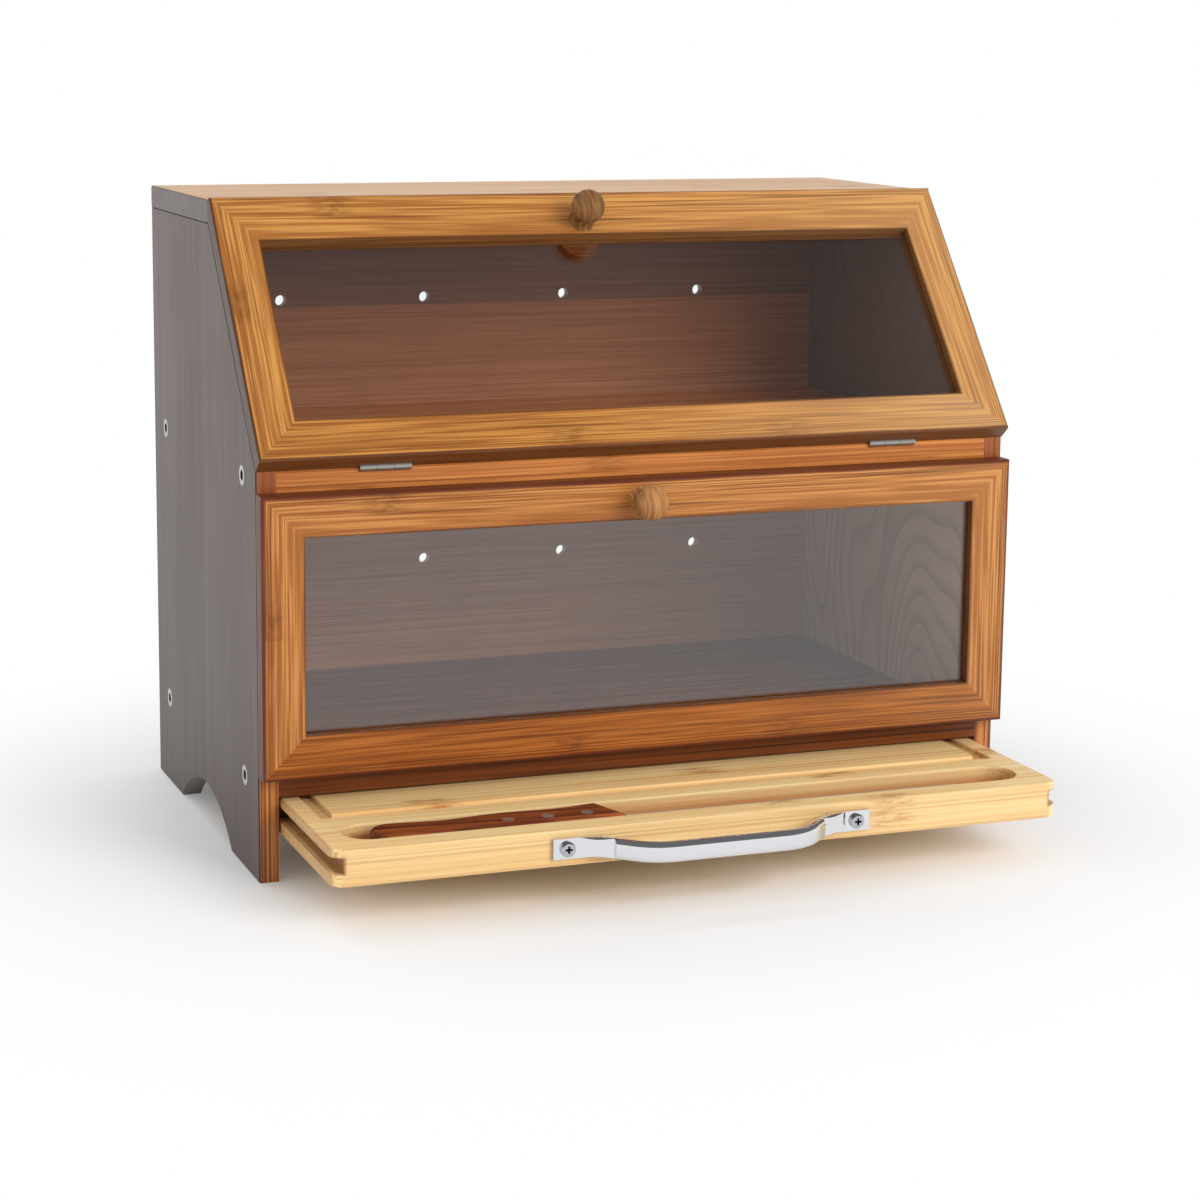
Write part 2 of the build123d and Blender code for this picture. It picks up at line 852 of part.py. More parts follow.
def board_handle():
    """A bow of rounded bar whose flattened ends are screwed to the board."""
    path = handle_path()
    start = Plane(origin=path @ 0, x_dir=(0, 0, 1), z_dir=path % 0)
    rounding = handle_bow_thickness * handle_section_round
    section = start * RectangleRounded(handle_height, handle_bow_thickness, rounding)
    handle = sweep(section, path=path)
    end, foot = handle_ends()
    half = handle_height / 2
    handle -= block(-end, end, 0, handle_reach, -handle_height, handle_height)
    for side in (-1, 1):
        handle -= flange_relief(side)
        x0, x1 = sorted((side * end, side * foot))
        handle += block(x0, x1, -handle_flange_thickness, 0, -half, half)
    for side in (-1, 1):
        x = side * handle_screw_spacing / 2
        handle -= rod_y(handle_screw_radius + handle_screw_clearance, -handle_height, 0, x, 0)
    return Pos(0, board_front_y, board_centre_z) * handle


def handle_screw(side, clearance=0.0):
    """A pan-head screw through the handle into the board's front edge, or its hole."""
    x = side * handle_screw_spacing / 2
    head_seat = board_front_y - handle_flange_thickness
    tip = head_seat + handle_screw_length
    shank = rod_y(handle_screw_radius + clearance, head_seat, tip + clearance, x, board_centre_z)
    if clearance > 0:
        return shank
    head = Cylinder(handle_screw_head_radius, handle_screw_head_height)
    head = fillet(head.faces().sort_by(Axis.Z)[-1].edges(), handle_screw_head_height / 2)
    head -= Pos(0, 0, handle_screw_head_height / 2) * cross_recess()
    centre_y = head_seat - handle_screw_head_height / 2
    return shank + Pos(x, centre_y, board_centre_z) * Rot(90, 0, 0) * head


# ---------------------------------------------------------------- knife
# The knife lies flat in the slot, its grip to the left. Its frame has the butt of the
# grip at x = 0, the front of the grip at y = 0 and the slot's floor at z = 0.
def knife_place():
    butt_x = -slot_length / 2 + knife_end_gap
    front = slot_centre_y - slot_width / 2 + knife_front_gap
    return Pos(butt_x, front, slot_floor)


def grip_outline():
    """The grip from above: a rounded butt, a waved back and a skewed end at the blade."""
    butt = grip_butt_width / 2
    crest = grip_length - grip_end_skew
    back = Spline(
        (butt, grip_butt_width),
        (grip_length * grip_waist_place, grip_waist_width),
        (grip_length * grip_belly_place, grip_belly_width),
        (grip_length * grip_neck_place, grip_neck_width),
        (crest, grip_width),
        tangents=[(1, 0), (1, grip_flare_slope)],
    )
    return Curve() + [
        ThreePointArc((butt, 0), (0, butt), (butt, grip_butt_width)),
        back,
        Line((crest, grip_width), (grip_length, 0)),
        Line((grip_length, 0), (butt, 0)),
    ]


def tang_middle():
    """Height of the blade's middle over the slot's floor."""
    return grip_thickness / 2


def tang_block(clearance=0.0):
    """The tang, or with a clearance the pocket for it in the grip."""
    y0 = blade_width / 2 - tang_width / 2 - clearance
    y1 = blade_width / 2 + tang_width / 2 + clearance
    thick = blade_thickness / 2 + clearance
    x0 = grip_length - tang_length - clearance
    return block(x0, grip_length, y0, y1, tang_middle() - thick, tang_middle() + thick)


def rivet_places():
    """X and Y of the rivets in the grip."""
    for i in range(rivet_count):
        yield grip_length - rivet_end_distance - i * rivet_spacing, blade_width / 2


def knife_rivet(x, y, clearance=0.0):
    low = rivet_proud if clearance == 0 else -1
    return rod_z(rivet_radius + clearance, low, grip_thickness + rivet_proud, x, y)


def knife_grip():
    grip = extrude(make_face(grip_outline()), grip_thickness)
    top = grip.faces().sort_by(Axis.Z)[-1]
    grip = fillet(top.edges(), grip_edge_round)
    grip -= tang_block(tang_clearance)
    for x, y in rivet_places():
        grip -= knife_rivet(x, y, hole_clearance)
    return knife_place() * grip


def blade_outline():
    """The blade from above, its cutting edge towards the front and its tip to the right."""
    heel = grip_length
    tip = grip_length + blade_length
    edge = Line((heel, 0), (tip - blade_tip_width, 0))
    nose = ThreePointArc(
        (tip - blade_tip_width, 0),
        (tip - blade_tip_width * 0.25, blade_tip_width * 0.35),
        (tip, blade_tip_width),
    )
    back = Polyline(
        (tip, blade_tip_width),
        (tip - blade_width, blade_width),
        (heel, blade_width),
        (heel, 0),
    )
    return Curve() + [edge, nose, back]


def scallops():
    """Shallow round bites along the cutting edge."""
    start = grip_length + scallop_margin
    end = grip_length + blade_length - blade_tip_width - scallop_margin
    pitch = (end - start) / scallop_count
    radius = (pitch * pitch / 4 + scallop_depth**2) / (2 * scallop_depth)
    low, high = 0, grip_thickness
    places = [start + (i + 0.5) * pitch for i in range(scallop_count)]
    return [rod_z(radius, low, high, x, scallop_depth - radius) for x in places]


def knife_blade():
    """Blade and tang in one piece of steel, with a ground bevel and a scalloped edge."""
    sheet = extrude(make_face(blade_outline()), blade_thickness)
    blade = Pos(0, 0, tang_middle() - blade_thickness / 2) * sheet
    wedge = Polyline(
        (0, blade_thickness / 2),
        (bevel_width, blade_thickness),
        (0, blade_thickness),
        close=True,
    )
    bevel = extrude(Plane.YZ * make_face(wedge), blade_length)
    blade -= Pos(grip_length, 0, tang_middle() - blade_thickness / 2) * bevel
    for bite in scallops():
        blade -= bite
    blade += tang_block()
    for x, y in rivet_places():
        blade -= rod_z(rivet_radius + hole_clearance, 0, grip_thickness, x, y)
    return knife_place() * blade


def knife_rivets():
    return [knife_place() * knife_rivet(x, y) for x, y in rivet_places()]


# ---------------------------------------------------------------- assembly
def door_nodes(name, place, section, height, top_rail, knob_up):
    """The pieces of one door, set on the carcass."""
    members = door_frame(section, height, top_rail, knob_up)
    return {
        f"{name}_bottom_rail": place * members["bottom"],
        f"{name}_top_rail": place * members["top"],
        f"{name}_left_stile": place * members["left"],
        f"{name}_right_stile": place * members["right"],
        f"{name}_glass": place * door_glass(height, top_rail),
        f"{name}_knob": place * knob(knob_up),
        f"{name}_knob_screw": place * knob_screw(knob_up),
        f"{name}_hinge_left_door_leaf": place * door_leaf(-1),
        f"{name}_hinge_right_door_leaf": place * door_leaf(1),
        f"{name}_hinge_door_screws": group([place * s for s in door_leaf_screws()]),
    }


def hinge_nodes(name, hinge_y, hinge_z, top):
    """The fixed half of one door's hinges."""
    return {
        f"{name}_hinge_left_fixed_leaf": fixed_leaf(-1, hinge_y, hinge_z, top),
        f"{name}_hinge_right_fixed_leaf": fixed_leaf(1, hinge_y, hinge_z, top),
        f"{name}_hinge_pins": group(hinge_pins(hinge_y, hinge_z)),
        f"{name}_hinge_fixed_screws": group(fixed_leaf_screws(hinge_y, top)),
    }


def carcass_nodes():
    sides = (-1, 1)
    bolts = [panel_bolt(side, y, z) for side in sides for y, z in bolt_seats()]
    inserts = [panel_insert(side, y, z) for side in sides for y, z in bolt_seats()]
    dowels = [top_dowel(side, y) for side in sides for y in dowel_places()]
    screws = [runner_screw(side, y) for side in sides for y in runner_screw_places()]
    return {
        "left_side_panel": side_panel(-1),
        "right_side_panel": side_panel(1),
        "top_panel": top_panel(),
        "back_panel": back_panel(),
        "middle_shelf": shelf(middle_shelf_top, upper_hinge_y, upper_hinge_z),
        "bottom_panel": shelf(bottom_panel_top, lower_hinge_y, lower_hinge_z),
        "left_runner": runner(-1),
        "right_runner": runner(1),
        "panel_bolts": group(bolts),
        "panel_inserts": group(inserts),
        "top_dowels": group(dowels),
        "runner_screws": group(screws),
        "upper_catch_block": catch_block(
            upper_door_place, side_height, upper_seat_up, slant, upper_knob_up
        ),
        "upper_catch_magnet": catch_magnet(upper_door_place, upper_knob_up),
        "lower_catch_block": catch_block(
            lower_door_place, shelf_underside, lower_seat_up, 0.0, lower_knob_up
        ),
        "lower_catch_magnet": catch_magnet(lower_door_place, lower_knob_up),
    }


def drawer_nodes():
    return {
        "cutting_board": cutting_board(),
        "board_handle": board_handle(),
        "handle_screws": group(both_sides(handle_screw)),
        "knife_grip": knife_grip(),
        "knife_blade": knife_blade(),
        "knife_rivets": group(knife_rivets()),
    }


def all_nodes():
    nodes = carcass_nodes()
    nodes.update(
        door_nodes(
            "upper_door",
            upper_door_place,
            upper_door_section(),
            upper_door_height(),
            upper_top_rail_width,
            upper_knob_up,
        )
    )
    nodes.update(
        door_nodes(
            "lower_door",
            lower_door_place,
            lower_door_section(),
            lower_door_height,
            lower_top_rail_width,
            lower_knob_up,
        )
    )
    nodes.update(hinge_nodes("upper_door", upper_hinge_y, upper_hinge_z, middle_shelf_top))
    nodes.update(hinge_nodes("lower_door", lower_hinge_y, lower_hinge_z, bottom_panel_top))
    nodes.update(drawer_nodes())
    return nodes


os.makedirs("parts", exist_ok=True)
for node, shape in all_nodes().items():
    export_step(shape, f"parts/{node}.step")
print("slant from upright", round(degrees(slant), 2))
print("upper hinge", round(upper_hinge_y, 3), round(upper_hinge_z, 3))
print("lower hinge", round(lower_hinge_y, 3), round(lower_hinge_z, 3))
print("carcass from y", round(front_y, 2), "to", round(back_y, 2))
print("board top", board_top, "front", board_front_y)
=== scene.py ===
# %% [markdown]
# # A bamboo bread box with a cutting-board drawer
#
# The imported CAD model already has every panel, door, hinge, screw and the knife in its true
# place and at its true size. Blender's job is how they look: stained bamboo in several
# shades, some with painted shade and painted light in them, walnut knobs, clear panes,
# polished and brushed steel. So nearly every cell below builds a material, and the last cells
# set the floor, the light and the camera.

# %% Load the frame
import math

import bmesh
import bpy
from mathutils import Matrix, Vector


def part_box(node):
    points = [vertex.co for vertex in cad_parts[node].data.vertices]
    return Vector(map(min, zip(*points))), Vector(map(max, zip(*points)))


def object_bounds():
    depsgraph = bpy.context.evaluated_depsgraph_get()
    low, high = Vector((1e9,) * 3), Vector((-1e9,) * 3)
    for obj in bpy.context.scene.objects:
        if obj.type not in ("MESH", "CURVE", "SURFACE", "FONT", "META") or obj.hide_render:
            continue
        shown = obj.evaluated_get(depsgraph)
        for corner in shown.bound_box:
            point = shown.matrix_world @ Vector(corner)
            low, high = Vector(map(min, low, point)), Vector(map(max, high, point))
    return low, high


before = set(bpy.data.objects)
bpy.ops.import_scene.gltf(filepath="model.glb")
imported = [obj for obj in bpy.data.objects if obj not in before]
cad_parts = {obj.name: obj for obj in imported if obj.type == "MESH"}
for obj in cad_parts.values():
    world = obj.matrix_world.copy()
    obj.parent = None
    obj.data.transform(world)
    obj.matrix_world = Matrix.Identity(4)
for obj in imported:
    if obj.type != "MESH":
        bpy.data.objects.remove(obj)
cad_low, cad_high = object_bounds()
print("CAD box", [round(v, 4) for v in (*cad_low, *cad_high)])

# %% [markdown]
# Every material starts the same way: a Principled BSDF, and Object coordinates for its
# patterns. All the pieces share one frame and sit at its origin, so a pattern on Object
# coordinates is at true scale, in metres, on each of them. The helpers below keep the node
# code short. A value is either a number or a pair (node, name of its output).

# %% Node helpers
def add_node(tree, kind, **values):
    """Adds a node; keyword values set its properties."""
    node = tree.nodes.new(kind)
    for key, value in values.items():
        setattr(node, key, value)
    return node


def set_inputs(node, **values):
    """Sets unlinked inputs by name, with underscores for spaces."""
    for key, value in values.items():
        node.inputs[key.replace("_", " ")].default_value = value
    return node


def feed(tree, socket, value):
    """Gives a socket a plain value, or links an output to it."""
    if isinstance(value, tuple) and hasattr(value[0], "outputs"):
        tree.links.new(value[0].outputs[value[1]], socket)
    elif value is not None:
        socket.default_value = value


def maths(tree, operation, a, b=None, c=None, clamp=False):
    """A Math node."""
    node = add_node(tree, "ShaderNodeMath", operation=operation, use_clamp=clamp)
    for slot, value in enumerate((a, b, c)):
        feed(tree, node.inputs[slot], value)
    return node, 0


def times(tree, product, *others):
    """The product of two or more values, which for masks is where all of them hold."""
    for other in others:
        product = maths(tree, "MULTIPLY", product, other)
    return product


def minus(tree, a, b):
    return maths(tree, "SUBTRACT", a, b)


def blend(tree, factor, a, b):
    """Mixes two colours."""
    node = add_node(tree, "ShaderNodeMix", data_type="RGBA")
    for slot, value in ((0, factor), (6, a), (7, b)):
        feed(tree, node.inputs[slot], value)
    return node, 2


def step(tree, value, start, end):
    """A soft step: 0 at start, 1 at end, which may be the smaller of the two."""
    node = add_node(tree, "ShaderNodeMapRange", interpolation_type="SMOOTHSTEP")
    feed(tree, node.inputs["Value"], value)
    low, high = min(start, end), max(start, end)
    set_inputs(node, From_Min=low, From_Max=high)
    set_inputs(node, To_Min=float(start > end), To_Max=float(start <= end))
    return node, 0


def axes(tree, vector):
    """The three parts of a vector."""
    node = add_node(tree, "ShaderNodeSeparateXYZ")
    feed(tree, node.inputs[0], vector)
    return (node, "X"), (node, "Y"), (node, "Z")


def noise(tree, vector, scale, detail=2.0, rough=0.5):
    """Noise whose space is scaled per axis, for streaks along the fibres."""
    stretch = add_node(tree, "ShaderNodeVectorMath", operation="MULTIPLY")
    stretch.inputs[1].default_value = scale
    feed(tree, stretch.inputs[0], vector)
    node = add_node(tree, "ShaderNodeTexNoise")
    set_inputs(node, Scale=1.0, Detail=detail, Roughness=rough)
    feed(tree, node.inputs["Vector"], (stretch, 0))
    return node, "Fac"


def random_number(tree, seed):
    """A chance of its own, from 0 to 1, for each whole number."""
    node = add_node(tree, "ShaderNodeTexWhiteNoise", noise_dimensions="1D")
    feed(tree, node.inputs["W"], seed)
    return node, "Value"


def srgb(*values):
    """A colour given as it looks on a screen, 0 to 255, as the renderer's linear values."""
    linear = []
    for value in values:
        share = value / 255
        linear.append(share / 12.92 if share <= 0.04045 else ((share + 0.055) / 1.055) ** 2.4)
    return (*linear, 1.0)


def new_group(name, inputs, outputs):
    """A node group with its named sockets; a default of None leaves Blender's own."""
    group = bpy.data.node_groups.new(name, "ShaderNodeTree")
    kinds = {"v": "NodeSocketVector", "c": "NodeSocketColor", "f": "NodeSocketFloat"}
    for label, kind, default in inputs:
        socket = group.interface.new_socket(name=label, in_out="INPUT", socket_type=kinds[kind])
        if default is not None:
            socket.default_value = default
    for label, kind in outputs:
        group.interface.new_socket(name=label, in_out="OUTPUT", socket_type=kinds[kind])
    return group, group.nodes.new("NodeGroupInput"), group.nodes.new("NodeGroupOutput")


# %% [markdown]
# Bamboo board isn't like sawn wood. It is glued up from narrow strips of the stem's wall,
# so it shows straight fibres, thin dark lines that run the whole length, small changes of
# tone from strip to strip, and now and then a mottled patch where the stem had a joint.
# One node group makes all of it, and each shade of bamboo calls it with its own colours.
# The fibres run along X of the vector that it is given, and it is stretched noise that
# draws them: a small scale along the fibres and several hundred per metre across.

# %% The bamboo group
stem_joint_spacing = 0.31  # metres from one joint of a stem to the next
strip_skew = 0.31          # how much Z moves the strips, so that edges show strips too


def make_bamboo_group():
    tree, given, made = new_group(
        "bamboo",
        [
            ("Vector", "v", None),
            ("Light", "c", srgb(220, 165, 100)),
            ("Middle", "c", srgb(200, 140, 75)),
            ("Dark", "c", srgb(120, 70, 30)),
            ("Contrast", "f", 1.0),
            ("Lines", "f", 0.5),
            ("Strip", "f", 0.02),
            ("Strip Tone", "f", 0.2),
            ("Joints", "f", 1.0),
            ("Quarter", "f", 0.0),
        ],
        [("Color", "c"), ("Roughness", "f"), ("Height", "f")],
    )
    vector = (given, "Vector")
    x, y, z = axes(tree, vector)

    # each strip has a number, and from it a chance of its own
    across = maths(tree, "MULTIPLY_ADD", z, strip_skew, y)
    number = maths(tree, "FLOOR", maths(tree, "DIVIDE", across, (given, "Strip")))
    chance = random_number(tree, number)

    # the tone: fine fibres, wider streaks, bands, and soft clouds over all of them
    fibres = noise(tree, vector, (16, 1250, 1250), 1.0)
    streaks = noise(tree, vector, (7, 600, 600), 2.0, 0.6)
    bands = noise(tree, vector, (1.6, 110, 110), 2.0)
    cloud = noise(tree, vector, (7, 16, 16), 2.0)
    tone = maths(tree, "MULTIPLY_ADD", fibres, 0.42, times(tree, streaks, 0.4))
    tone = maths(tree, "MULTIPLY_ADD", bands, 0.18, tone)
    tone = times(tree, minus(tree, tone, 0.5), (given, "Contrast"))
    tone = maths(tree, "MULTIPLY_ADD", tone, 4.0, 0.5)
    tone = maths(tree, "MULTIPLY_ADD", minus(tree, cloud, 0.5), 0.8, tone)
    offset = minus(tree, chance, 0.5)
    tone = maths(tree, "MULTIPLY_ADD", offset, (given, "Strip Tone"), tone, clamp=True)
    colour = blend(tree, tone, (given, "Middle"), (given, "Light"))

    # thin dark lines that keep their place for a long way
    thin = noise(tree, vector, (1.6, 820, 820), 1.0)
    line = times(tree, step(tree, thin, 0.56, 0.70), (given, "Lines"))
    colour = blend(tree, line, colour, (given, "Dark"))

    # a joint of the stem: a mottled patch at a place of its own along every other strip
    other = random_number(tree, maths(tree, "MULTIPLY_ADD", (given, "Quarter"), 17.3, number))
    wander = maths(tree, "MULTIPLY_ADD", other, 5.3, x)
    wave = maths(tree, "MULTIPLY_ADD", streaks, 0.02, wander)
    place = maths(tree, "FRACT", maths(tree, "DIVIDE", wave, stem_joint_spacing))
    far = maths(tree, "ABSOLUTE", minus(tree, place, 0.5))
    patch = step(tree, far, 0.055, 0.012)
    mottle = step(tree, noise(tree, vector, (130, 620, 620), 2.0), 0.42, 0.62)
    patch = times(tree, patch, maths(tree, "MULTIPLY_ADD", mottle, 0.75, 0.25))
    kept = step(tree, maths(tree, "FRACT", times(tree, other, 37.7)), 0.49, 0.51)
    patch = times(tree, patch, kept, (given, "Joints"))
    colour = blend(tree, patch, colour, (given, "Dark"))

    feed(tree, made.inputs["Color"], colour)
    feed(tree, made.inputs["Roughness"], maths(tree, "MULTIPLY_ADD", tone, -0.12, 0.52))
    feed(tree, made.inputs["Height"], maths(tree, "MULTIPLY_ADD", line, -0.8, streaks))
    return tree


bamboo_group = make_bamboo_group()
print("bamboo group nodes", len(bamboo_group.nodes))

# %% [markdown]
# Each door is a mitred frame, and its lines turn the corner with the wood: they run parallel
# to the edges and meet at the mitres. So the pattern can't be drawn on plain coordinates.
# This group folds a door about its middle lines and measures two distances instead: how far
# a point is from the end of its rail or stile, and how far in from the outer edge. A rail
# that is wider than the stiles is scaled to their width, so both agree along the mitre. It
# also gives the distances from the outer edge and from the opening, which get painted shade.

# %% The mitred frame group
def make_frame_group():
    tree, given, made = new_group(
        "mitred_frame",
        [
            ("Vector", "v", None),
            ("Half Width", "f", 0.2),
            ("Half Height", "f", 0.1),
            ("Stile", "f", 0.02),
            ("Top Rail", "f", 0.02),
            ("Bottom Rail", "f", 0.02),
        ],
        [("Rail Across", "f"), ("From Side", "f"), ("From End", "f"), ("Depth", "f"),
         ("Outer", "f"), ("Inner", "f"), ("Quarter", "f")],
    )
    x, y, z = axes(tree, (given, "Vector"))
    upper, right = (maths(tree, "GREATER_THAN", place, 0.0) for place in (z, x))
    from_side = minus(tree, (given, "Half Width"), maths(tree, "ABSOLUTE", x))
    from_end = minus(tree, (given, "Half Height"), maths(tree, "ABSOLUTE", z))
    more = minus(tree, (given, "Top Rail"), (given, "Bottom Rail"))
    rail = maths(tree, "MULTIPLY_ADD", more, upper, (given, "Bottom Rail"))
    scaled = maths(tree, "DIVIDE", times(tree, from_end, (given, "Stile")), rail)
    # a small slope keeps the noise from repeating itself in the four folded quarters
    depth = maths(tree, "MULTIPLY_ADD", x, 0.007, maths(tree, "MULTIPLY_ADD", z, 0.011, y))
    past_side = minus(tree, (given, "Stile"), from_side)
    past_end = minus(tree, rail, from_end)
    found = {
        "Rail Across": scaled,
        "From Side": from_side,
        "From End": from_end,
        "Depth": depth,
        "Outer": maths(tree, "MINIMUM", from_side, from_end),
        "Inner": maths(tree, "MAXIMUM", past_side, past_end),
        "Quarter": maths(tree, "MULTIPLY_ADD", upper, 2.0, right),
    }
    for label, value in found.items():
        feed(tree, made.inputs[label], value)
    return tree


frame_group = make_frame_group()
print("mitred frame group nodes", len(frame_group.nodes))

# %% [markdown]
# A shade of bamboo is one material. It feeds a vector with the fibres along X to the bamboo
# group, lets a shade function change the colour by place where a piece needs it, and ends in
# a Principled BSDF with a thin coat, which is the lacquer. Numbers that are the same all
# over, such as the coat, are set on the shader itself.

# %% A material from the bamboo group
def new_material(name):
    """A material with a Principled BSDF, and Object coordinates for its patterns."""
    material = bpy.data.materials.new(name)
    material.use_nodes = True
    tree = material.node_tree
    tree.nodes.clear()
    shader = add_node(tree, "ShaderNodeBsdfPrincipled")
    output = add_node(tree, "ShaderNodeOutputMaterial")
    tree.links.new(shader.outputs[0], output.inputs[0])
    where = (add_node(tree, "ShaderNodeTexCoord"), "Object")
    return material, tree, shader, where


def mapped(tree, vector, turn=(0, 0, 0), shift=(0, 0, 0)):
    """A Mapping node: turns by degrees about X, Y and Z, and then shifts."""
    node = add_node(tree, "ShaderNodeMapping")
    node.inputs["Rotation"].default_value = [math.radians(a) for a in turn]
    node.inputs["Location"].default_value = shift
    feed(tree, node.inputs["Vector"], vector)
    return node, "Vector"


def bump(tree, shader, height, strength, distance=0.0003):
    """Lets a height tilt the light on a shader, without moving the surface."""
    node = set_inputs(add_node(tree, "ShaderNodeBump"), Strength=strength, Distance=distance)
    feed(tree, node.inputs["Height"], height)
    feed(tree, shader.inputs["Normal"], (node, "Normal"))


def bamboo(name, light, middle, dark, turn=(0, 0, 0), vector=None, shade=None, contrast=1.0,
           lines=0.4, strip=0.02, strip_tone=0.25, joints=0.6, coat=0.1, shine=0.25,
           relief=0.15, quarter=None):
    """A shade of stained bamboo with its fibres along X of the turned coordinates."""
    material, tree, shader, where = new_material(name)
    turned = vector(tree, where) if vector else mapped(tree, where, turn)
    grain = add_node(tree, "ShaderNodeGroup", node_tree=bamboo_group)
    set_inputs(grain, Light=srgb(*light), Middle=srgb(*middle), Dark=srgb(*dark))
    set_inputs(grain, Contrast=contrast, Lines=lines, Joints=joints)
    set_inputs(grain, Strip=strip, Strip_Tone=strip_tone)
    feed(tree, grain.inputs["Vector"], turned)
    if quarter:
        feed(tree, grain.inputs["Quarter"], quarter())
    colour = (grain, "Color")
    if shade:
        colour = shade(tree, where, colour)
    feed(tree, shader.inputs["Base Color"], colour)
    feed(tree, shader.inputs["Roughness"], (grain, "Roughness"))
    set_inputs(shader, Coat_Weight=coat, Coat_Roughness=0.22, Specular_IOR_Level=shine)
    bump(tree, shader, (grain, "Height"), relief)
    return material


def dress(material, *names):
    """Puts a material in every slot of some CAD nodes."""
    for name in names:
        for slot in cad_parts[name].material_slots:
            slot.material = material
    print(material.name, "on", len(names), "pieces")


# %% [markdown]
# The places that the shades need are measured on the frame: the outer faces, the tops of the
# panels, and the slant of the upper front, which comes from how far the top's front edge is
# set back from the carcass's front.

# %% Places on the carcass
outer_x = cad_high[0]
carcass_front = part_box("bottom_panel")[0][1]
carcass_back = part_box("left_side_panel")[1][1]
side_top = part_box("left_side_panel")[1][2]
shelf_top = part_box("middle_shelf")[1][2]
low_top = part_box("bottom_panel")[1][2]
top_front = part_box("top_panel")[0][1]
slant = math.atan2(top_front - carcass_front, side_top - shelf_top)
print("slant from upright", round(math.degrees(slant), 2))

# %% [markdown]
# The outsides of the side panels are the plainest surfaces: grey-brown, which is painted
# shade over the brown wood, with faint upright fibres. The same panel shows a browner inner
# face, with the arched figure that a wide face has, and an orange front edge. So its colour
# changes with place: one mask is the distance behind the outer face, and others the distance
# behind the front and the slanted edge. The arched figure is the contour lines of a smooth
# noise that is stretched along the panel. Painted shade darkens the inner faces of the upper
# compartment, and painted light brightens those of the lower one. The front edge is painted
# darker under the upper door, and the gaps at the doors and the top get painted shadow lines.

# %% Side panels
# The first colour, a grey-brown, is painted shade for faces turned from the light.
shaded_outside_brown, outside_low = (90, 71, 62), (68, 46, 35)
# The inner faces: darker in the upper compartment as painted shade, lighter in the lower one as
# painted light.
shaded_upper_inside, shaded_upper_rings = (126, 116, 108), (86, 64, 50)
lit_lower_inside, lit_lower_rings = (232, 200, 172), (150, 110, 82)
# The last edge colour is painted shade, for the front edge under the upper door.
edge_dark, edge_light, overhang_shade_edge = (128, 68, 30), (206, 132, 66), (128, 54, 20)
# Painted shadow for the narrow gaps at the doors and the top.
gap_shadow_dark = (34, 25, 21)
skin = 0.0004  # metres from a face, where its own stain ends


def side_shade(tree, where, colour):
    x, y, z = axes(tree, where)
    inward = minus(tree, outer_x, maths(tree, "ABSOLUTE", x))
    from_back = minus(tree, carcass_back, y)
    inside = times(tree, step(tree, inward, skin, 2 * skin),
                   step(tree, from_back, skin, 2 * skin))

    # the arched figure; painted light in the lower compartment, painted shade in the upper
    figure = noise(tree, where, (30, 8, 3.4), 1.0)
    rings = step(tree, maths(tree, "FRACT", times(tree, figure, 52.0)), 0.45, 0.95)
    lit_lower_room = times(tree, step(tree, z, shelf_top, shelf_top - 0.01),
                     step(tree, z, low_top - 0.01, low_top))
    rings = times(tree, rings, maths(tree, "MULTIPLY_ADD", lit_lower_room, 0.34, 0.16))
    plain = blend(tree, lit_lower_room, srgb(*shaded_upper_inside), srgb(*lit_lower_inside))
    ringed = blend(tree, lit_lower_room, srgb(*shaded_upper_rings), srgb(*lit_lower_rings))
    inner = blend(tree, 0.75, colour, blend(tree, rings, plain, ringed))

    # the front edge and the slanted edge
    behind = minus(tree, y, carcass_front)
    lift = times(tree, minus(tree, z, shelf_top), math.tan(slant))
    from_slant = times(tree, minus(tree, behind, lift), math.cos(slant))
    from_front = maths(tree, "ADD", behind, step(tree, z, shelf_top, shelf_top + skin))
    from_edge = maths(tree, "MINIMUM", from_front, from_slant)
    edge = times(tree, step(tree, from_edge, 2 * skin, skin), inside)
    fibres = noise(tree, where, (700, 700, 6), 2.0)
    orange = blend(tree, step(tree, fibres, 0.36, 0.62), srgb(*edge_dark), srgb(*edge_light))
    # painted shade: under the upper door the front edge is darker and redder
    overhang_shade = times(tree, step(tree, z, 0.160, 0.180), 0.7)
    orange = blend(tree, overhang_shade, orange, srgb(*overhang_shade_edge))

    # the outer face is browner towards the floor
    lower = times(tree, step(tree, z, 0.30, 0.02), 0.8)
    outer = blend(tree, lower, colour, srgb(*outside_low))
    colour = blend(tree, inside, outer, inner)
    colour = blend(tree, edge, colour, orange)

    # painted shadow lines in the gaps where the doors and the top meet the outer face
    seam = step(tree, minus(tree, side_top, z), 0.0010, 0.0005)
    outside = minus(tree, 1.0, inside)
    beside = times(tree, step(tree, from_edge, 0.0013, 0.0006), outside)
    dark = times(tree, maths(tree, "MAXIMUM", seam, beside), 0.85)
    return blend(tree, dark, colour, srgb(*gap_shadow_dark))


# The grey-brown of the outer faces is painted shade over the brown wood.
side_bamboo = bamboo(
    "side_bamboo", (98, 78, 69), (83, 64, 55), (54, 40, 33), turn=(0, 90, 0),
    shade=side_shade, contrast=0.7, lines=0.3, strip=0.03, strip_tone=0.15, joints=0.0,
    shine=0.4, relief=0.04,
)
dress(side_bamboo, "left_side_panel", "right_side_panel")

# %% [markdown]
# The top is stained a light brown and has the glossiest coat, so it looks almost pink where
# it mirrors a white room at a low angle. Its end faces take the sides' grey-brown, which is
# painted shade. The shelf, the bottom and the back are darker inside the box, and the
# bottom, the runners, the dowels and the catch blocks share a deep brown that is painted
# shade. The back is made of two boards, and the upper one is the darker: the joint runs just
# under the row of air holes.

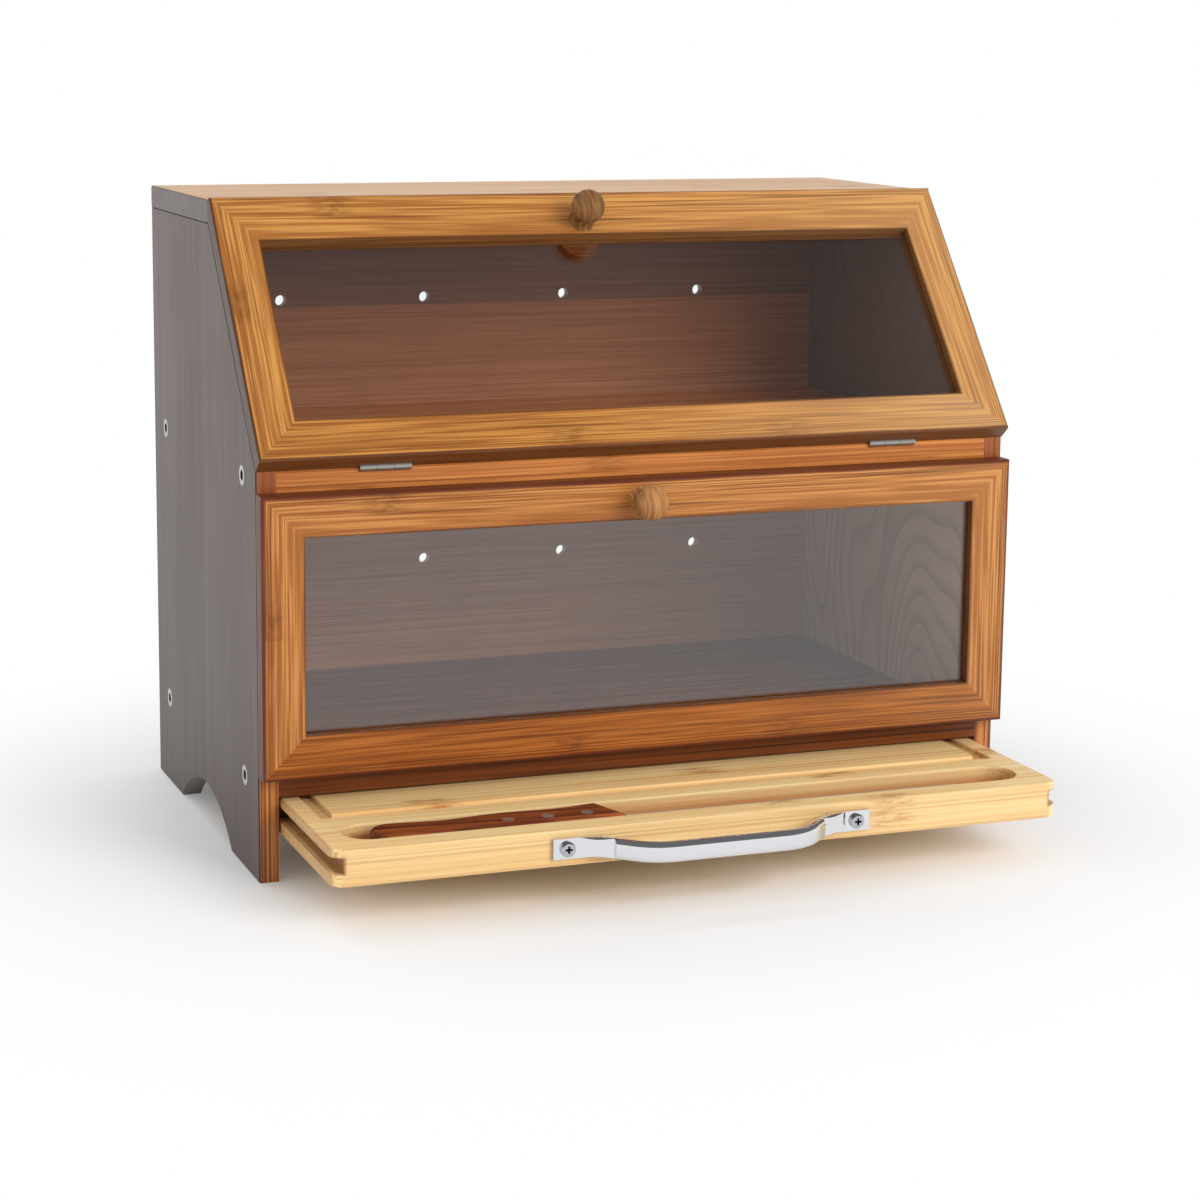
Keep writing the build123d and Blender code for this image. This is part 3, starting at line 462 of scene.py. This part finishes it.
# %% Top, shelves and back
upper_board_brown = (76, 60, 52)
back_joint = shelf_top + 0.0555


def top_shade(tree, where, colour):
    x, _, _ = axes(tree, where)
    from_end = minus(tree, outer_x, maths(tree, "ABSOLUTE", x))
    # painted shade: the end faces get the sides' grey-brown
    return blend(tree, step(tree, from_end, 2 * skin, skin), colour, srgb(*shaded_outside_brown))


def back_shade(tree, where, colour):
    _, _, z = axes(tree, where)
    upper_board = step(tree, z, back_joint - skin, back_joint + skin)
    return blend(tree, times(tree, upper_board, 0.55), colour, srgb(*upper_board_brown))


top_bamboo = bamboo(
    "top_bamboo", (234, 186, 132), (212, 160, 106), (146, 96, 56), shade=top_shade,
    contrast=1.1, lines=0.4, strip=0.024, joints=0.3, coat=0.2, shine=0.45, relief=0.06,
)
shelf_bamboo = bamboo(
    "shelf_bamboo", (212, 136, 68), (176, 102, 46), (96, 46, 18), contrast=1.5, lines=0.5,
    strip=0.0055, joints=0.4,
)
# Painted shade: a deep brown for the parts that sit in shadow under the doors and rails.
shadowed_bamboo = bamboo(
    "shadowed_bamboo", (118, 60, 22), (84, 40, 14), (36, 16, 6), contrast=1.5, lines=0.6,
    strip=0.0055, joints=0.3,
)
back_bamboo = bamboo(
    "back_bamboo", (176, 118, 80), (148, 96, 64), (90, 54, 34), shade=back_shade,
    contrast=0.9, lines=0.35, strip=0.056, strip_tone=0.1, joints=0.15, relief=0.04,
)
dress(top_bamboo, "top_panel")
dress(shelf_bamboo, "middle_shelf")
dress(shadowed_bamboo, "bottom_panel", "left_runner", "right_runner", "top_dowels",
      "upper_catch_block", "lower_catch_block")
dress(back_bamboo, "back_panel")

# %% [markdown]
# A door's own coordinates have their origin at the middle of its frame and Z up the door.
# For the upper door that takes a turn by the slant. The turn and the shift are worked out
# from the frame's vertices, and so are the widths of the stiles and rails.

# %% The doors' own coordinates
def door_plane(door, lean):
    """Where a door's frame is in its own plane: lean, shift, and the members' sizes."""
    turn = Matrix.Rotation(lean, 3, "X")
    spans = {}
    for part in ("left_stile", "right_stile", "top_rail", "bottom_rail"):
        places = [turn @ v.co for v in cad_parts[f"{door}_{part}"].data.vertices]
        spans[part] = [(min(p[i] for p in places), max(p[i] for p in places))
                       for i in range(3)]
    low, high = spans["bottom_rail"][2][0], spans["top_rail"][2][1]
    half_width = spans["right_stile"][0][1]
    sizes = {
        "Half Width": half_width,
        "Half Height": (high - low) / 2,
        "Stile": half_width - spans["right_stile"][0][0],
        "Top Rail": high - spans["top_rail"][2][0],
        "Bottom Rail": spans["bottom_rail"][2][1] - low,
    }
    shift = (0.0, -spans["top_rail"][1][0], -(low + high) / 2)
    print(door, {name: round(size * 1000, 2) for name, size in sizes.items()})
    return math.degrees(lean), shift, sizes


upper_plane = door_plane("upper_door", slant)
lower_plane = door_plane("lower_door", 0.0)

# %% [markdown]
# A rail and a stile take their fibres from the same folded distances, the one along the
# width of the door and the other up it, so they need materials of their own. The rounded
# outer edge has the darkest painted shade, with two fine lines of painted shade beside it at
# the steps of its profile, and the edge round the pane has painted shade too. Towards the
# right the wood is painted paler, a painted sheen. The upper door's side faces have the
# sides' grey-brown painted shade. The lower door's bottom rail is the deepest brown, partly
# its own tone and partly painted shade, and the upper door's bottom rail is darker at the
# left, as painted shade.

# %% Doors
# Painted shade for the edge round the pane, and the tan of a painted sheen.
reveal_shade_brown, sheen_tan = (76, 40, 20), (222, 184, 136)
fine_shadow_line_places = (0.0032, 0.0047)  # metres in from the outer edge


def door_bamboo(name, plane, light, middle, dark, rim_shadow, rim_shadow_width, fine_shadow_lines, painted_side_shade,
                right_sheen, **looks):
    """The bamboo of a door's rails or stiles."""
    lean, shift, sizes = plane
    upright = "stile" in name
    along, across = ("From End", "From Side") if upright else ("From Side", "Rail Across")
    made = {}

    def vector(tree, where):
        fold = add_node(tree, "ShaderNodeGroup", node_tree=frame_group)
        for label, size in sizes.items():
            fold.inputs[label].default_value = size
        feed(tree, fold.inputs["Vector"], mapped(tree, where, (lean, 0, 0), shift))
        made["fold"] = fold
        join = add_node(tree, "ShaderNodeCombineXYZ")
        for slot, label in enumerate((along, across, "Depth")):
            feed(tree, join.inputs[slot], (fold, label))
        return join, 0

    def quarter():
        return made["fold"], "Quarter"

    def shade(tree, where, colour):
        fold = made["fold"]
        x, _, _ = axes(tree, where)
        # painted sheen: paler towards the right, where the light falls
        sheen = times(tree, step(tree, x, -0.06, 0.22), right_sheen)
        colour = blend(tree, sheen, colour, srgb(*sheen_tan))

        # painted shade along the rounded outer edge; noise keeps it from following the edge
        # exactly
        uneven = noise(tree, where, (25, 25, 25), 2.0)
        outer = maths(tree, "MULTIPLY_ADD", uneven, 0.0012,
                      minus(tree, (fold, "Outer"), 0.0006))
        # painted shade lines at the steps of the edge's profile
        for place in fine_shadow_line_places:
            beside = maths(tree, "ABSOLUTE", minus(tree, outer, place))
            fine = times(tree, step(tree, beside, 0.0004, 0.0001), fine_shadow_lines)
            colour = blend(tree, fine, colour, srgb(*dark))
        edge = times(tree, step(tree, outer, rim_shadow_width, rim_shadow_width * 0.4), 0.85)
        colour = blend(tree, edge, colour, srgb(*rim_shadow))
        # painted shade on the edge round the pane
        reveal_shade = times(tree, step(tree, (fold, "Inner"), 0.0012, 0.0004), 0.7)
        colour = blend(tree, reveal_shade, colour, srgb(*reveal_shade_brown))
        # painted shade: the side faces take the sides' grey-brown
        side_face = step(tree, (fold, "From Side"), 0.0003, 0.0001)
        side_face = times(tree, side_face, painted_side_shade)
        return blend(tree, side_face, colour, srgb(*shaded_outside_brown))

    return bamboo(name, light, middle, dark, vector=vector, shade=shade, quarter=quarter,
                  **looks)


door_looks = dict(contrast=1.9, lines=0.6, strip=0.0107, strip_tone=0.25, joints=0.45)
upper_shade = dict(
    light=(206, 146, 74), middle=(164, 102, 44), dark=(98, 50, 18), rim_shadow=(86, 42, 20),
    rim_shadow_width=0.0016, fine_shadow_lines=0.3, painted_side_shade=0.9, right_sheen=0.2,
)
# The upper door's bottom rail is darker, and paler at the right: painted shade at its left.
front_shade = dict(
    upper_shade, light=(198, 136, 64), middle=(154, 94, 38), dark=(90, 46, 16),
    right_sheen=0.36,
)
lower_shade = dict(
    light=(198, 134, 70), middle=(156, 93, 40), dark=(92, 42, 16), rim_shadow=(84, 28, 18),
    rim_shadow_width=0.0026, fine_shadow_lines=0.55, painted_side_shade=0.0, right_sheen=0.06,
)
# The lower door's bottom rail: partly its own deeper tone, partly painted shade towards the
# bottom.
deep_shade = dict(
    lower_shade, light=(178, 104, 40), middle=(138, 74, 22), dark=(76, 32, 8),
    right_sheen=0.1,
)
members = (
    ("upper_rail", upper_plane, upper_shade, ["top_rail"]),
    ("upper_front_rail", upper_plane, front_shade, ["bottom_rail"]),
    ("upper_stile", upper_plane, upper_shade, ["left_stile", "right_stile"]),
    ("lower_rail", lower_plane, lower_shade, ["top_rail"]),
    ("lower_deep_rail", lower_plane, deep_shade, ["bottom_rail"]),
    ("lower_stile", lower_plane, lower_shade, ["left_stile", "right_stile"]),
)
for label, plane, shade, parts in members:
    wood = door_bamboo(f"{label}_bamboo", plane, **shade, **door_looks)
    dress(wood, *(f"{label.split('_')[0]}_door_{part}" for part in parts))

# %% [markdown]
# The cutting board is pale bamboo without stain, so its mottled joints show best, on the
# broad strips of the top and on the front edge. The walls of the slot for the knife and the
# moat are browner, partly from oil and burning by the cutter and partly painted shade. The
# grooves in both side edges that run on the slides are painted darkest, as painted shade,
# and the front edge is painted a plainer tan, a painted shade that tones down its light.

# %% Cutting board
board_low, board_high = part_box("cutting_board")
# The first colour is burning and painted shade in the sunk places.
burnt_and_shaded_brown, end_brown = (168, 94, 38), (176, 108, 54)
# Painted shade: a plainer tan for the lit front edge, and the grooves' dark brown.
front_shade_tan, groove_shadow_brown = (206, 170, 122), (136, 76, 32)
slot_floor = 0.0119                        # metres below the board's top
groove_low, groove_high = 0.0055, 0.0150   # metres above the board's bottom
groove_soft = 0.0009


def board_shade(tree, where, colour):
    x, y, z = axes(tree, where)
    below_top = minus(tree, board_high[2], z)
    from_end = minus(tree, board_high[0], maths(tree, "ABSOLUTE", x))
    from_front = minus(tree, y, board_low[1])

    # burning and painted shade: the moat and the slot's walls, but neither the slot's floor
    # nor the outer edges
    within = maths(tree, "MINIMUM", from_end, from_front)
    above = step(tree, minus(tree, z, board_low[2]), 0.0010, 0.0016)
    inside = times(tree, step(tree, within, 0.0014, 0.0022), above)
    off_floor = step(tree, below_top, slot_floor, 0.0100)
    moat = times(tree, step(tree, below_top, 0.0006, 0.0018), 0.35, off_floor)
    walls = times(tree, step(tree, below_top, 0.0025, 0.0080), off_floor)
    burn_and_shade = times(tree, maths(tree, "MULTIPLY_ADD", walls, 0.4, moat), inside)
    colour = blend(tree, burn_and_shade, colour, srgb(*burnt_and_shaded_brown))

    # the ends are browner, and the front edge is painted a plainer tan: painted shade that
    # tones down the light on it
    end = times(tree, step(tree, from_end, 0.0020, 0.0004), 0.5)
    colour = blend(tree, end, colour, srgb(*end_brown))
    front = times(tree, step(tree, from_front, 0.0012, 0.0004), 0.45)
    colour = blend(tree, front, colour, srgb(*front_shade_tan))

    # painted shade: the grooves in both side edges are the darkest
    in_side = times(tree, step(tree, from_end, 0.0008, 0.0030),
                    step(tree, from_end, 0.0072, 0.0066))
    low, high = board_low[2] + groove_low, board_low[2] + groove_high
    level = times(tree, step(tree, z, low, low + groove_soft),
                  step(tree, z, high, high - groove_soft))
    groove_shade = times(tree, in_side, level, 0.55)
    return blend(tree, groove_shade, colour, srgb(*groove_shadow_brown))


board_bamboo = bamboo(
    "board_bamboo", (255, 226, 166), (244, 200, 132), (178, 106, 48), shade=board_shade,
    contrast=1.6, lines=0.4, strip=0.0125, strip_tone=0.5, joints=0.7, relief=0.08,
)
dress(board_bamboo, "cutting_board")

# %% [markdown]
# The panes are clear acrylic. A Principled BSDF with full transmission shows and bends what
# is behind it, but a path tracer then lets hardly any lamp light through to the shelves. So
# for shadow rays and diffuse rays the pane turns transparent, which is what a thin clear
# sheet does to light. The lower pane stands upright, so it mirrors the white floor in front
# and looks hazy, and a coat adds to that. The upper one leans back and mirrors only what is
# overhead.

# %% Clear panes
def show_either(tree, factor, shader, other):
    """Puts a mix of two shaders on a material's output."""
    choose = add_node(tree, "ShaderNodeMixShader")
    for slot, value in enumerate((factor, (shader, 0), (other, 0))):
        feed(tree, choose.inputs[slot], value)
    output = next(node for node in tree.nodes if node.type == "OUTPUT_MATERIAL")
    feed(tree, output.inputs[0], (choose, 0))


def pane(name, shine, coat):
    """Clear acrylic that mirrors more or less of what is in front of it."""
    material, tree, shader, _ = new_material(name)
    set_inputs(shader, Base_Color=(0.96, 0.97, 0.97, 1), Roughness=0.0, IOR=1.45)
    set_inputs(shader, Transmission_Weight=1.0, Specular_IOR_Level=shine)
    set_inputs(shader, Coat_Weight=coat, Coat_Roughness=0.0)
    open_sheet = add_node(tree, "ShaderNodeBsdfTransparent")
    path = add_node(tree, "ShaderNodeLightPath")
    passes = maths(tree, "MAXIMUM", (path, "Is Shadow Ray"), (path, "Is Diffuse Ray"))
    show_either(tree, passes, shader, open_sheet)
    return material


dress(pane("clear_pane", 0.2, 0.0), "upper_door_glass")
dress(pane("shiny_pane", 1.0, 0.75), "lower_door_glass")

# %% [markdown]
# The steel has a few finishes: the polished handle and its screws, the satin bolts, inserts
# and wood screws, the hinges, and the ground blade. Fine noise in the roughness, stretched
# along the blade, keeps them from looking like mirrors. The sockets of the bolts and the
# crosses of the handle's screws are painted dark, as painted shade, because little light
# gets in. A depth below the head finds them.

# %% Metals
# Painted shade for the sockets and the crosses of the screws.
socket_shadow_dark, cross_shadow_dark = (34, 32, 31), (30, 29, 28)
screw_low, screw_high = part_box("handle_screws")
screw_x, screw_z = screw_high[0], (screw_low[2] + screw_high[2]) / 2
screw_radius = (screw_high[2] - screw_low[2]) / 2


def metal(name, colour, rough, wear, stretch=(60, 60, 60), shade=None, metallic=1.0):
    """Bare or plated steel, with faint wear in its roughness."""
    material, tree, shader, where = new_material(name)
    set_inputs(shader, Base_Color=srgb(*colour), Metallic=metallic)
    if shade:
        feed(tree, shader.inputs["Base Color"], shade(tree, where, srgb(*colour)))
    worn = noise(tree, where, stretch, 3.0, 0.6)
    feed(tree, shader.inputs["Roughness"], maths(tree, "MULTIPLY_ADD", worn, wear, rough))
    return material


def socket_shade(tree, where, colour):
    x, _, _ = axes(tree, where)
    below = minus(tree, outer_x, maths(tree, "ABSOLUTE", x))
    return blend(tree, step(tree, below, 0.0002, 0.0006), colour, srgb(*socket_shadow_dark))


def cross_shade(tree, where, colour):
    x, y, z = axes(tree, where)
    aside = minus(tree, maths(tree, "ABSOLUTE", x), screw_x - screw_radius)
    up = minus(tree, z, screw_z)
    square = maths(tree, "MULTIPLY_ADD", aside, aside, times(tree, up, up))
    near = step(tree, maths(tree, "SQRT", square), screw_radius * 0.72, screw_radius * 0.66)
    deep = step(tree, minus(tree, y, screw_low[1]), 0.0004, 0.0006)
    return blend(tree, times(tree, near, deep), colour, srgb(*cross_shadow_dark))


chrome = metal("polished_chrome", (226, 228, 231), 0.05, 0.08)
chrome_screw = metal("chrome_screw", (188, 190, 194), 0.14, 0.12, shade=cross_shade)
satin_bolt = metal("satin_bolt", (190, 188, 184), 0.24, 0.16, shade=socket_shade,
                   metallic=0.8)
satin = metal("satin_steel", (172, 170, 166), 0.24, 0.18, metallic=0.75)
hinge_steel = metal("hinge_steel", (164, 159, 151), 0.22, 0.2, metallic=0.7)
ground_steel = metal("ground_steel", (190, 192, 194), 0.26, 0.2, (900, 60, 60), metallic=0.7)
dress(chrome, "board_handle")
dress(chrome_screw, "handle_screws")
dress(satin_bolt, "panel_bolts")
dress(satin, "panel_inserts", "runner_screws", "upper_door_knob_screw",
      "lower_door_knob_screw", "upper_catch_magnet", "lower_catch_magnet", "knife_rivets")
dress(hinge_steel, *(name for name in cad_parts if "_hinge_" in name))
dress(ground_steel, "knife_blade")

# %% [markdown]
# The knobs are turned from walnut, the upper one painted darker as painted shade, and the
# knife's grip is a red-brown hardwood. All are close-grained: short dark pores and longer
# wavy streaks along the fibres, from noise at two scales through a colour ramp. In the knobs
# the fibres stand almost upright and lie in flat layers, so they show as lines on the front.

# %% Dark woods
knob_looks = dict(turn=(0, 96, 0), scale=(16, 60, 620), rough=0.45, coat=0.05)


def dark_wood(name, dark, middle, light, turn, scale, rough, coat):
    """A close-grained wood with streaks along X of the turned coordinates."""
    material, tree, shader, where = new_material(name)
    vector = mapped(tree, where, turn)
    streaks = noise(tree, vector, scale, 3.0, 0.6)
    pores = noise(tree, vector, (scale[0] * 4, scale[1] * 3, scale[2] * 3), 1.0)
    mixed = maths(tree, "MULTIPLY_ADD", pores, 0.35, times(tree, streaks, 0.65))
    ramp = add_node(tree, "ShaderNodeValToRGB")
    ramp.color_ramp.elements.new(0.5)
    stops = zip(ramp.color_ramp.elements, (0.36, 0.5, 0.64), (dark, middle, light))
    for element, place, shade in stops:
        element.position, element.color = place, srgb(*shade)
    feed(tree, ramp.inputs[0], mixed)
    feed(tree, shader.inputs["Base Color"], (ramp, 0))
    feed(tree, shader.inputs["Roughness"], maths(tree, "MULTIPLY_ADD", mixed, 0.2, rough))
    set_inputs(shader, Coat_Weight=coat, Coat_Roughness=0.3, Specular_IOR_Level=0.3)
    bump(tree, shader, mixed, 0.15)
    return material


# painted shade: the upper knob is the same walnut, painted darker
shaded_upper_walnut = dark_wood("shaded_upper_knob_walnut", (84, 54, 28), (132, 90, 50), (168, 120, 72),
                         **knob_looks)
lower_walnut = dark_wood("lower_knob_walnut", (122, 78, 42), (172, 120, 70), (202, 152, 94),
                         **knob_looks)
red_wood = dark_wood("grip_hardwood", (52, 18, 6), (118, 52, 18), (168, 86, 36),
                     turn=(0, 0, 4), scale=(12, 300, 300), rough=0.42, coat=0.1)
dress(shaded_upper_walnut, "upper_door_knob")
dress(lower_walnut, "lower_door_knob")
dress(red_wood, "knife_grip")

# %% [markdown]
# The floor is plain and pale. Near the box it is an ordinary matt surface, so it keeps the
# soft shadow. Further out it fades, for what the camera, a mirror or a pane sees, into the
# same plain white as the background, so no horizon shows. The distance is measured on the
# floor itself, from the box outwards.

# %% Floor
floor_half = 8.0
fade_start, fade_end = 0.13, 0.46  # metres from the middle of the box

bed = bmesh.new()
bmesh.ops.create_grid(bed, x_segments=1, y_segments=1, size=floor_half)
floor_mesh = bpy.data.meshes.new("floor")
bed.to_mesh(floor_mesh)
bed.free()
floor = bpy.data.objects.new("floor", floor_mesh)
bpy.context.scene.collection.objects.link(floor)

material, tree, shader, where = new_material("pale_floor")
set_inputs(shader, Base_Color=(0.95, 0.955, 0.97, 1), Roughness=0.7, Specular_IOR_Level=0.1)
x, y, _ = axes(tree, where)
square = maths(tree, "MULTIPLY_ADD", x, x, times(tree, y, y))
away = step(tree, maths(tree, "SQRT", square), fade_start, fade_end)
path = add_node(tree, "ShaderNodeLightPath")
seen = maths(tree, "MAXIMUM", (path, "Is Camera Ray"), (path, "Is Glossy Ray"))
seen = maths(tree, "MAXIMUM", seen, (path, "Is Transmission Ray"))
white = set_inputs(add_node(tree, "ShaderNodeEmission"), Color=(1, 1, 1, 1), Strength=1.0)
show_either(tree, times(tree, away, seen), shader, white)
floor_mesh.materials.append(material)
print("floor of", 2 * floor_half, "m, white from", fade_end, "m")

# %% [markdown]
# The key light is high in front and to the right, because the shadow falls to the left and
# the right ends of the doors are the brighter ones. A weaker panel, high at the back left,
# and the white room fill the rest. No mirror shows either panel. The room is plain white
# where it is seen, but what mirrors its ceiling sees it dark, which gives polished steel its
# dark streaks.

# %% Light
room_light, overhead = 0.70, 0.16
ceiling_start, ceiling_full = 0.20, 0.36  # how steeply a mirrored ray goes up, 0 to 1


def area_light(name, place, target, size, power):
    """A soft panel of light that faces a target point and shows in no mirror."""
    data = bpy.data.lights.new(name, "AREA")
    data.shape = "RECTANGLE"
    data.size, data.size_y = size
    data.energy = power
    lamp = bpy.data.objects.new(name, data)
    bpy.context.scene.collection.objects.link(lamp)
    lamp.location = place
    aim = Vector(target) - Vector(place)
    lamp.rotation_euler = aim.to_track_quat("-Z", "Y").to_euler()
    lamp.visible_glossy = False


area_light("key", (0.95, -1.95, 1.15), (0, -0.05, 0.15), size=(1.4, 1.1), power=33)
area_light("behind", (-0.6, 1.3, 2.0), (0, 0, 0.2), size=(1.2, 1.2), power=8)

world = bpy.data.worlds.new("white_room")
bpy.context.scene.world = world
world.use_nodes = True
sky = world.node_tree
sky.nodes.clear()
path = add_node(sky, "ShaderNodeLightPath")
_, _, z = axes(sky, (add_node(sky, "ShaderNodeTexCoord"), "Generated"))
level = step(sky, z, ceiling_full, ceiling_start)
seen = maths(sky, "MAXIMUM", (path, "Is Camera Ray"), (path, "Is Transmission Ray"))
mirrored = maths(sky, "MULTIPLY_ADD", level, 1.0 - overhead, overhead - room_light)
strength = maths(sky, "MULTIPLY_ADD", seen, 1.0 - room_light, room_light)
strength = maths(sky, "MULTIPLY_ADD", (path, "Is Glossy Ray"), mirrored, strength)
white = set_inputs(add_node(sky, "ShaderNodeBackground"), Color=(1, 1, 1, 1))
feed(sky, white.inputs["Strength"], strength)
feed(sky, add_node(sky, "ShaderNodeOutputWorld").inputs[0], (white, 0))
bpy.context.scene.view_settings.view_transform = "Standard"

# %% [markdown]
# The camera stands in front and to the left, a little above the box, with a long lens. Its
# angles and the small shift of the frame put each corner of the box where it should be.

# %% Camera
yaw, pitch, roll = 0.3481, 0.1667, 0.0073        # radians
focal_length, frame_width = 2788.7, 1200          # pixels
before_back = 1.49943                             # metres in front of the back of the box

camera_data = bpy.data.cameras.new("camera")
camera_data.sensor_width = 36.0
camera_data.lens = focal_length / frame_width * camera_data.sensor_width
camera_data.shift_x, camera_data.shift_y = 0.05, -0.08333
camera = bpy.data.objects.new("camera", camera_data)
bpy.context.scene.collection.objects.link(camera)
camera.location = (-0.51871, carcass_back - before_back, 0.41012)
forward = Vector((math.sin(yaw) * math.cos(pitch), math.cos(yaw) * math.cos(pitch),
                  -math.sin(pitch)))
turn = forward.to_track_quat("-Z", "Y").to_matrix() @ Matrix.Rotation(roll, 3, "Z")
camera.rotation_euler = turn.to_euler()
bpy.context.scene.camera = camera
print("camera at", [round(v, 3) for v in camera.location])
